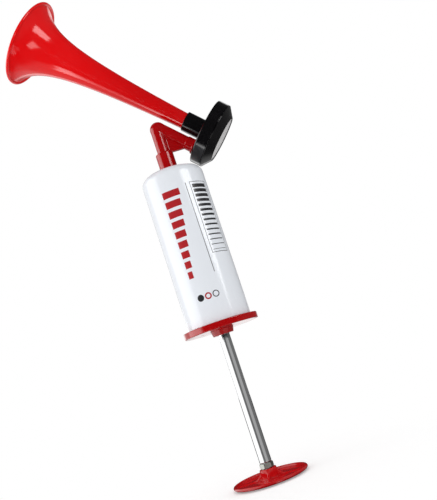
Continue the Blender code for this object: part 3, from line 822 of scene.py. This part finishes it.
class AIRHORN_OT_barrel(Operator):
    """Turns the white canister with its shoulder and outlet nipple, and prints it"""

    bl_idname = "airhorn.barrel"
    bl_label = "Canister"

    def execute(self, context):
        sizes = context.scene.air_horn_barrel
        top = NIPPLE_TOP - sizes.nipple_height
        inner = top - sizes.top_wall
        bore = sizes.radius - sizes.wall
        seal = middle_of("elbow_seal_ring").z
        half = sizes.groove_width / 2
        side_top = top - sizes.shoulder
        outline = [
            (sizes.nipple_bore, NIPPLE_TOP, FINE),
            (sizes.nipple_radius, NIPPLE_TOP, SOFT),
            (sizes.nipple_radius, seal + half, 0),
            (sizes.groove_radius, seal + half, 0),
            (sizes.groove_radius, seal - half, 0),
            (sizes.nipple_radius, seal - half, 0),
            (sizes.nipple_radius, top, 0),
            *arc(sizes.radius - sizes.shoulder, side_top, sizes.shoulder, *SHOULDER_ARC),
            (sizes.radius, side_top - HOLD, 0),
            (sizes.radius, BARREL_LOW, EASED),
            (bore, BARREL_LOW, 0),
            (bore, inner, BROAD),
            (sizes.nipple_bore, inner, 0),
        ]
        printed = printed_abs(context.scene.air_horn_finishes, sizes.radius)
        fit(turned("printed_canister", outline), printed, "canister", "white_abs", "barrel")
        return {"FINISHED"}


class AIRHORN_OT_end_cap(Operator):
    """Turns the red end cap with its flange and boss, and drills its vents"""

    bl_idname = "airhorn.end_cap"
    bl_label = "End cap"

    def execute(self, context):
        sizes = context.scene.air_horn_cap
        low = CAP_LOW + sizes.boss_height
        high = low + sizes.flange_thickness
        spigot_inner = sizes.spigot_radius - sizes.spigot_wall
        outline = [
            (sizes.bore, CAP_HIGH, 0),
            (sizes.hub_radius, CAP_HIGH, EASED),
            (sizes.hub_radius, high, SOFT),
            (spigot_inner, high, SOFT),
            (spigot_inner, CAP_HIGH, EASED),
            (sizes.spigot_radius, CAP_HIGH, EASED),
            (sizes.spigot_radius, high, 0),
            (sizes.flange_radius, high, sizes.flange_edge),
            (sizes.flange_radius, low, sizes.flange_edge),
            (sizes.boss_radius, low, FULL),
            (sizes.boss_radius - sizes.boss_draft, CAP_LOW, ROOT),
            (sizes.rod_hole, CAP_LOW, EASED),
            (sizes.rod_hole, CAP_LOW + sizes.lip, 0),
            (sizes.bore, CAP_LOW + sizes.lip, 0),
        ]
        circle = (sizes.hub_radius + spigot_inner) / 2
        vents = []
        for k in range(sizes.vent_count):
            turn = math.tau * (k + 0.5) / sizes.vent_count
            spot = Matrix.Translation((circle * math.cos(turn), circle * math.sin(turn), 0))
            vents.append(bar(f"vent_{k + 1}", sizes.vent_radius, low - PAST, high + PAST, spot))
        cap = shaped(turned("end_cap_moulding", outline), cut=vents)
        fit(cap, moulded_abs(context, "deep_red_abs"), "canister", "red_abs", "end_cap")
        return {"FINISHED"}


class AIRHORN_OT_plunger(Operator):
    """Makes the plated rod, its lock nut and the ribbed handle"""

    bl_idname = "airhorn.plunger"
    bl_label = "Rod, nut and handle"

    def execute(self, context):
        sizes = context.scene.air_horn_plunger
        finishes = context.scene.air_horn_finishes
        self.make_rod(sizes, finishes)
        self.make_nut(sizes, finishes)
        self.make_handle(context, sizes)
        return {"FINISHED"}

    def make_rod(self, sizes, finishes):
        low = NUT_HIGH + SEAT
        inner = sizes.rod_radius - sizes.rod_wall
        outline = [
            (0, low + sizes.rod_plug, 0),
            (inner, low + sizes.rod_plug, 0),
            (inner, ROD_HIGH, FINE),
            (sizes.rod_radius, ROD_HIGH, SOFT),
            (sizes.rod_radius, low, ROUND),
            (sizes.stud_radius, low, 0),
            (sizes.stud_radius, ROD_LOW, SOFT),
            (0, ROD_LOW, 0),
        ]
        plated = turned("plated_rod", outline, PUMP, SMALL_STEPS)
        fit(plated, chrome_plate(finishes), "plunger", "plated_steel", "pump_rod")

    def make_nut(self, sizes, finishes):
        flat = sizes.nut_corner * math.cos(math.pi / NUT_SIDES)
        trim = [
            (0, NUT_HIGH, 0),
            (flat, NUT_HIGH, 0),
            (sizes.nut_corner, NUT_HIGH - sizes.nut_chamfer, 0),
            (sizes.nut_corner, NUT_LOW + sizes.nut_chamfer, 0),
            (flat, NUT_LOW, 0),
            (0, NUT_LOW, 0),
        ]
        flats = Matrix.Rotation(sizes.nut_turn, 4, "Z")
        hexagon = bar("hexagon_nut", sizes.nut_corner, NUT_LOW, NUT_HIGH, flats, NUT_SIDES)
        lens = turned("nut_lens", trim, PUMP, SMALL_STEPS)
        hole = bar("nut_hole", sizes.stud_radius + SEAT, NUT_LOW - PAST, NUT_HIGH + PAST)
        nut = shaped(hexagon, cut=[hole], kept=[lens])
        fit(nut, zinc_plate(finishes), "plunger", "zinc_steel", "lock_nut")

    def make_handle(self, context, sizes):
        rim = sizes.handle_radius - sizes.bead
        hole = sizes.stud_radius + SEAT
        disc = [
            (0, sizes.stud_floor, 0),
            (hole, sizes.stud_floor, 0),
            (hole, sizes.boss_height, 0),
            (sizes.boss_radius, sizes.boss_height, SOFT),
            (sizes.boss_radius, sizes.floor, 0),
            (rim - sizes.bead, sizes.floor, 0),
            *arc(rim, sizes.bead_height, sizes.bead, *BEAD_ARC),
            (sizes.foot_radius, 0, ROUND),
            (0, 0, 0),
        ]
        handle = turned("handle_moulding", disc)
        foot = sizes.floor / 2
        inner = sizes.boss_radius - sizes.rib_thickness / 2
        rib = [(inner, foot), (rim, foot), (rim, sizes.rib_low)]
        for k in range(SWEEP_STEPS, -1, -1):
            bend = math.pi / 2 * k / SWEEP_STEPS
            out = sizes.boss_radius + sizes.rib_sweep * (1 - math.cos(bend))
            rib.append((out, sizes.rib_top - (sizes.rib_top - sizes.rib_low) * math.sin(bend)))
        rib.append((inner, sizes.rib_top))
        ribs = []
        for k in range(sizes.rib_count):
            turn = Matrix.Rotation(sizes.rib_turn + math.tau * k / sizes.rib_count, 4, "Z")
            ribs.append(plate(f"rib_{k + 1}", rib, sizes.rib_thickness, turn))
        shaped(handle, joined=ribs, skin=True)
        # The handle's red is painted lighter than the same plastic elsewhere: painted light
        fit(handle, moulded_abs(context, "handle_red_abs"), "plunger", "red_abs", "handle_disc")


# Inner finishes: colour, IOR, roughness from and to, grain in millimetres, and the nodes that have it
INNER_FINISHES = {
    # Moulded nitrile rubber: a dull black with a dusty bloom, and no clear reflection
    "nitrile_rubber": (
        "#161617", 1.52, 0.6, 0.8, 0.6,
        ("piston_cup", "bump_stop", "elbow_seal_ring", "inlet_gasket", "diaphragm_gasket"),
    ),
    # Turned natural nylon: milky off-white with a waxy sheen
    "natural_nylon": ("#E4E0D4", 1.53, 0.4, 0.55, 1.5, ("piston_head",)),
    # Turned black acetal: a dense black with a low, slippery shine
    "black_acetal": ("#1A1A1B", 1.48, 0.35, 0.5, 1.0, ("rod_bush",)),
    # Polyester film: pale, flat and bright, with long soft ripples
    "polyester_film": ("#D9DAD3", 1.64, 0.1, 0.2, 4.0, ("diaphragm",)),
}


class AIRHORN_OT_inner_pieces(Operator):
    """Gives the pieces inside the pump and the housing their finishes"""

    bl_idname = "airhorn.inner_pieces"
    bl_label = "Inner pieces"

    def execute(self, context):
        zinc = zinc_plate(context.scene.air_horn_finishes)
        self.finish(zinc, "lower_washer", "upper_washer", "piston_bolt")
        for name, (tint, ior, low, high, grain, nodes) in INNER_FINISHES.items():
            self.finish(plain_finish(name, linear(tint), {"IOR": ior}, low, high, grain * MM), *nodes)
        return {"FINISHED"}

    def finish(self, material, *nodes):
        for node in nodes:
            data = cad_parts[node].data
            data.materials.clear()
            data.materials.append(material)


# The camera's sensor in millimetres, and the nearest that it sees
SENSOR = 36
NEAR = 0.01

# The floor: how far it lies under the handle, how much its paper is lifted, from where to where it fades to
# white, and from where to where the share of light that it throws back rises from least to most
FLOOR_GAP = 0.0001
PAPER_LIFT = 0.3
FADE_FROM, FADE_TO = 0.05, 0.22
BACK_FROM, BACK_TO = 0.05, 0.12
BACK_LEAST, BACK_MOST = 0.15, 0.85

# The middle of the lamps and walls, the sizes of the walls and the glow of their dark cloth
CENTRE = Vector((0, 0, 0.22))
APRON_CENTRE = Vector((0, 0, 0.05))
TENT_RADIUS = 2.5
DOME_RADIUS = 2.0
APRON_RADIUS = 0.07
CLOTH_GLOW = 0.02

# Each card: from and to round the object in degrees, from and to upwards, how soft its edges are, and its
# glow. Zero degrees is the camera's side, and the angle grows to the right.
DOME_CARDS = [
    (-118, -64, -8, 42, 7, 3.2),
    (-172, -118, -8, 42, 7, 0.9),
    (-175, -72, -62, -8, 13, 0.5),
    (-98, -62, -41, -34, 2, 4.5),
    (60, 179, -50, 45, 12, 0.09),
    (140, 180, -40, -4, 6, 0.3),
    (-180, -150, -40, -4, 6, 0.3),
    (6, 27, -50, -27, 3, 3.2),
    (142, 170, 27, 39, 3, 1.2),
    (150, 180, -9, 2, 3, 0.9),
    (-180, -150, -9, 2, 3, 0.9),
]
APRON_CARDS = [
    (-180, -132, 6, 90, 4, 0.3),
    (-132, -34, -90, 90, 4, 1.6),
    (-34, 2, -90, 90, 4, 0.19),
    (2, 52, -90, 90, 4, 0.50),
    (52, 120, -90, 90, 6, 0.19),
    (120, 180, 6, 90, 4, 0.16),
]

# Each stretch of the apron: where it starts and how far it turns in degrees, its lower and its upper edge.
# The left one leaves the handle clear, and the back one lets the flange's underside see the wall behind.
APRON_STRETCHES = {
    "left": (-150, 116, -0.005, 0.112),
    "front": (-34, 184, -0.01, 0.112),
    "back": (150, 60, -0.04, 0.06),
}

# Each lamp: angle round the object, height angle, distance, width, height, roll and power. The window shows
# only in reflections, and cards stand there for the others.
LAMPS = {
    "left_softbox": (-92, 4, 0.80, 0.50, 0.80, 0, 1.3),
    "top_softbox": (150, 62, 0.95, 0.70, 0.50, 0, 0.4),
    "right_softbox": (75, 0, 0.80, 0.50, 0.50, 0, 0.6),
    "low_softbox": (-25, -12, 0.80, 0.50, 0.20, 0, 1.4),
    "window": (46.5, 16, 0.69, 0.38, 0.28, -42, 1.7),
}


class AIRHORN_OT_stage(Operator):
    """Sets the pale floor, the white background, the soft lamps and the camera"""

    bl_idname = "airhorn.stage"
    bl_label = "Stage"

    def execute(self, context):
        settings = context.scene.air_horn_stage
        context.scene.view_settings.view_transform = "Standard"
        self.make_camera(context, settings)
        self.make_floor(settings)
        self.make_world(context)
        self.make_tent(settings)
        self.make_dome()
        self.make_apron()
        self.make_lamps(context)
        return {"FINISHED"}

    def make_camera(self, context, settings):
        data = bpy.data.cameras.new("camera")
        data.lens = settings.camera_lens
        data.sensor_width = SENSOR
        data.clip_start = NEAR
        camera = bpy.data.objects.new("camera", data)
        place = Vector(settings.camera_place)
        look = (Vector(settings.camera_target) - place).to_track_quat("-Z", "Y")
        camera.location = place
        camera.rotation_mode = "QUATERNION"
        camera.rotation_quaternion = look @ Quaternion((0, 0, 1), settings.camera_roll)
        context.scene.collection.objects.link(camera)
        context.scene.camera = camera

    def make_floor(self, settings):
        """A matt white floor that takes the shadow near the object and fades to the white background. It lies
        just under the handle, throws little light back up there so that the rim's underside stays dark, and
        is clear from below."""
        bm = bmesh.new()
        bmesh.ops.create_circle(bm, cap_ends=True, segments=SMALL_STEPS, radius=settings.floor_radius)
        floor = piece_of("floor", bm, Matrix.Translation((0, 0, -FLOOR_GAP)))
        material, add = blank(bpy.data.materials, "matt_white_paper")
        paper = add("BsdfDiffuse", {"Color": (*linear("#EEEEEE"), 1)})
        lift = add("Emission", {"Color": WHITE, "Strength": PAPER_LIFT})
        lifted = add("AddShader", {0: paper, 1: lift})
        white = add("Emission", {"Color": WHITE, "Strength": 1.0})
        place = add("TexCoord").outputs["Object"]
        far = add("VectorMath", {0: place}, operation="LENGTH")
        fade = add("MapRange", {"Value": far, "From Min": FADE_FROM, "From Max": FADE_TO}, **SOFT_RAMP)
        seen = add("MixShader", {0: fade, 1: lifted, 2: white})
        back = add(
            "MapRange",
            {
                "Value": far, "From Min": BACK_FROM, "From Max": BACK_TO,
                "To Min": BACK_LEAST, "To Max": BACK_MOST,
            },
            **SOFT_RAMP
        )
        bounce = add("BsdfDiffuse", {"Color": back})
        rays = add("LightPath").outputs
        direct = add("Math", {0: rays["Is Camera Ray"], 1: rays["Is Transmission Ray"]}, operation="MAXIMUM")
        shown = add("MixShader", {0: direct, 1: bounce, 2: seen})
        clear = add("BsdfTransparent")
        under = add("NewGeometry").outputs["Backfacing"]
        upper = add("MixShader", {0: under, 1: shown, 2: clear})
        add("OutputMaterial", {"Surface": upper})
        floor.data.materials.append(material)
        staged(floor, "glossy")

    def make_world(self, context):
        """White wherever the background is seen straight, in a mirror or through glass. It gives no light."""
        context.scene.world, add = blank(bpy.data.worlds, "studio")
        rays = add("LightPath").outputs
        seen = rays["Is Camera Ray"]
        for kind in ("Is Glossy Ray", "Is Transmission Ray"):
            seen = add("Math", {0: seen, 1: rays[kind]}, operation="MAXIMUM")
        white = add("Background", {"Color": WHITE, "Strength": seen})
        add("OutputWorld", {"Surface": white})

    def make_tent(self, settings):
        """A white tent that gives even matt light, and that gloss and the camera don't see."""
        bm = bmesh.new()
        bmesh.ops.create_uvsphere(
            bm, u_segments=SMALL_STEPS // 2, v_segments=SMALL_STEPS // 4, radius=TENT_RADIUS
        )
        tent = piece_of("light_tent", bm)
        material, add = blank(bpy.data.materials, "white_tent_cloth")
        light = add("Emission", {"Color": WHITE, "Strength": settings.ambient})
        add("OutputMaterial", {"Surface": light})
        tent.data.materials.append(material)
        staged(tent, "camera", "glossy", "transmission", "shadow")

    def make_dome(self):
        """Dark cloth walls with white cards on them, so that gloss keeps its depth."""
        bm = bmesh.new()
        bmesh.ops.create_uvsphere(bm, u_segments=SMALL_STEPS, v_segments=SMALL_STEPS // 2, radius=DOME_RADIUS)
        self.hang(piece_of("reflected_dome", bm, Matrix.Translation(CENTRE)), CENTRE, DOME_CARDS)

    def make_apron(self):
        """A low ring of cards round the rod, so that its plating shows white, a dark line and two greys."""
        for name, (first, turn, low, high) in APRON_STRETCHES.items():
            bm = bmesh.new()
            start = math.radians(first)
            out = (APRON_RADIUS * math.sin(start), -APRON_RADIUS * math.cos(start))
            row = [bm.verts.new((*out, high)), bm.verts.new((*out, low))]
            edge = bm.edges.new(row)
            bmesh.ops.spin(
                bm, geom=row + [edge], cent=(0, 0, 0), axis=(0, 0, 1), angle=math.radians(turn),
                steps=SMALL_STEPS
            )
            self.hang(piece_of(f"reflected_apron_{name}", bm), APRON_CENTRE, APRON_CARDS)

    def hang(self, wall, centre, cards):
        """Hangs a wall with dark cloth and soft-edged cards, placed from a middle point. Only reflections see
        it, and only from inside."""
        material, add = blank(bpy.data.materials, wall.name + "_cloth")
        material.cycles.emission_sampling = "NONE"
        place = add("TexCoord").outputs["Object"]
        ray = add("VectorMath", {0: place, 1: centre}, operation="SUBTRACT")
        ray = add("VectorMath", {0: ray}, operation="NORMALIZE")
        axes = add("SeparateXYZ", {0: ray}).outputs
        front = add("Math", {0: axes["Y"], 1: -1.0}, operation="MULTIPLY")
        turn = add("Math", {0: axes["X"], 1: front}, operation="ARCTAN2")
        rise = add("Math", {0: axes["Z"]}, operation="ARCSINE")
        total = CLOTH_GLOW
        for left, right, low, high, soft, glow in cards:
            for bend, edge, into in ((turn, left, 1), (turn, right, -1), (rise, low, 1), (rise, high, -1)):
                first = math.radians(edge - soft * into)
                last = math.radians(edge + soft * into)
                ramp = add("MapRange", {"Value": bend, "From Min": first, "From Max": last}, **SOFT_RAMP)
                glow = add("Math", {0: ramp, 1: glow}, operation="MULTIPLY")
            total = add("Math", {0: total, 1: glow}, operation="ADD")
        light = add("Emission", {"Color": WHITE, "Strength": total})
        clear = add("BsdfTransparent")
        side = add("NewGeometry").outputs["Backfacing"]
        inside = add("MixShader", {0: side, 1: clear, 2: light})
        add("OutputMaterial", {"Surface": inside})
        wall.data.materials.append(material)
        staged(wall, "camera", "diffuse", "transmission", "shadow")

    def make_lamps(self, context):
        for name, (round_angle, height_angle, distance, width, height, roll, power) in LAMPS.items():
            turn = math.radians(round_angle)
            rise = math.radians(height_angle)
            level = math.cos(rise)
            toward = Vector((math.sin(turn) * level, -math.cos(turn) * level, math.sin(rise)))
            data = bpy.data.lights.new(name, "AREA")
            data.shape = "RECTANGLE"
            data.size = width
            data.size_y = height
            data.energy = power
            lamp = bpy.data.objects.new(name, data)
            lamp.location = CENTRE + toward * distance
            lamp.rotation_mode = "QUATERNION"
            rolled = Quaternion((0, 0, 1), math.radians(roll))
            lamp.rotation_quaternion = toward.to_track_quat("Z", "Y") @ rolled
            lamp.visible_camera = False
            lamp.visible_glossy = name == "window"
            lamp.visible_diffuse = name != "window"
            context.scene.collection.objects.link(lamp)


class AIRHORN_PT_panel(Panel):
    """Lists the air horn's pieces, sizes and colours"""

    bl_idname = "AIRHORN_PT_panel"
    bl_label = "Hand-pump air horn"
    bl_space_type = "VIEW_3D"
    bl_region_type = "UI"
    bl_category = "Air horn"

    def draw(self, context):
        for operator, name, _ in STEPS:
            box = self.layout.box()
            box.operator(operator.bl_idname)
            settings = getattr(context.scene, name)
            for setting in settings.__annotations__:
                box.prop(settings, setting)


# Each operator with the scene's name for its settings and their group
STEPS = [
    (AIRHORN_OT_bell, "air_horn_bell", BellSizes),
    (AIRHORN_OT_housing, "air_horn_housing", HousingSizes),
    (AIRHORN_OT_elbow, "air_horn_elbow", ElbowSizes),
    (AIRHORN_OT_barrel, "air_horn_barrel", BarrelSizes),
    (AIRHORN_OT_end_cap, "air_horn_cap", CapSizes),
    (AIRHORN_OT_plunger, "air_horn_plunger", PlungerSizes),
    (AIRHORN_OT_inner_pieces, "air_horn_finishes", Finishes),
    (AIRHORN_OT_stage, "air_horn_stage", StageSettings),
]


def register():
    for operator, name, group in STEPS:
        bpy.utils.register_class(group)
        setattr(bpy.types.Scene, name, PointerProperty(type=group))
        bpy.utils.register_class(operator)
    bpy.utils.register_class(AIRHORN_PT_panel)


def unregister():
    bpy.utils.unregister_class(AIRHORN_PT_panel)
    for operator, name, group in reversed(STEPS):
        bpy.utils.unregister_class(operator)
        delattr(bpy.types.Scene, name)
        bpy.utils.unregister_class(group)


def main():
    register()
    bpy.ops.airhorn.bell()
    bpy.ops.airhorn.housing()
    bpy.ops.airhorn.elbow()
    bpy.ops.airhorn.barrel()
    bpy.ops.airhorn.end_cap()
    bpy.ops.airhorn.plunger()
    bpy.ops.airhorn.inner_pieces()
    bpy.ops.airhorn.stage()


if __name__ == "__main__":
    main()
